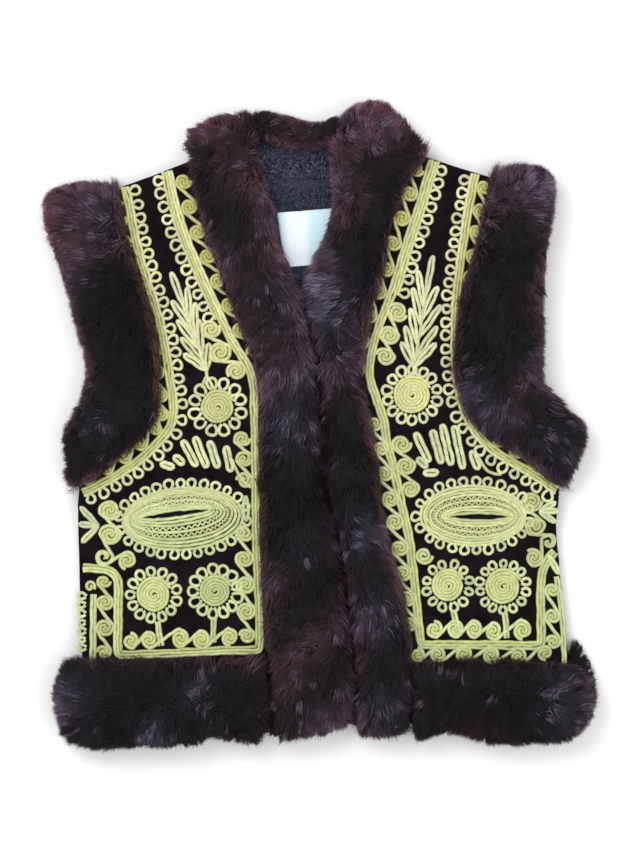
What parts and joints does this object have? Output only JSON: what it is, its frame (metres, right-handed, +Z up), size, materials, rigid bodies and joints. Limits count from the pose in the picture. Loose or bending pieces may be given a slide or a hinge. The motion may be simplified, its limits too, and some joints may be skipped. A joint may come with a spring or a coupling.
{
  "type": "embroidered folk vest",
  "caption": "Sleeveless vest laid flat: dark velvet with raised cord flowers and scrolls, deep fur at front, neck, armholes and hem, boucle lining and slit pockets.",
  "frame": {"origin": "centre of the garment's outline in plan, on the surface that it lies on", "axes": "+Z up from the surface, +Y from the hem to the neck, +X towards the wearer's left side"},
  "size_m": [0.5271, 0.617, 0.0512],
  "materials": {
    "velvet": "very dark plum velvet with a short nap",
    "boucle": "blue-grey looped boucle",
    "fur": "long dark pile with plum tips",
    "cord": "yellow-green twisted rayon cord, lustrous",
    "satin": "white satin, smooth",
    "pocketing": "black plain-woven pocketing"
  },
  "bodies": {
    "root": {"back": "velvet", "lining": "boucle", "neck_facing": "boucle", "label": "satin", "front_right": "velvet", "front_left": "velvet", "pocket_bag_right": "pocketing", "pocket_bag_left": "pocketing", "front_trim_right": "fur", "front_trim_left": "fur", "collar_back": "fur", "armhole_trim_right": "fur", "armhole_trim_left": "fur", "hem_trim_right": "fur", "hem_trim_left": "fur", "hem_trim_back": "fur", "neck_band_right": "cord", "neck_band_left": "cord", "armhole_band_right": "cord", "armhole_band_left": "cord", "hem_band_right": "cord", "hem_band_left": "cord", "side_band_right": "cord", "side_band_left": "cord", "edge_band_right": "cord", "edge_band_left": "cord", "flower_top_right": "cord", "flower_low_side_right": "cord", "flower_low_front_right": "cord", "flower_top_left": "cord", "flower_low_front_left": "cord", "flower_low_side_left": "cord", "pocket_welt_right": "cord", "pocket_welt_left": "cord", "leaf_spray_right": "cord", "leaf_spray_left": "cord", "finger_comb_right": "cord", "finger_comb_left": "cord"}
  },
  "joints": []
}
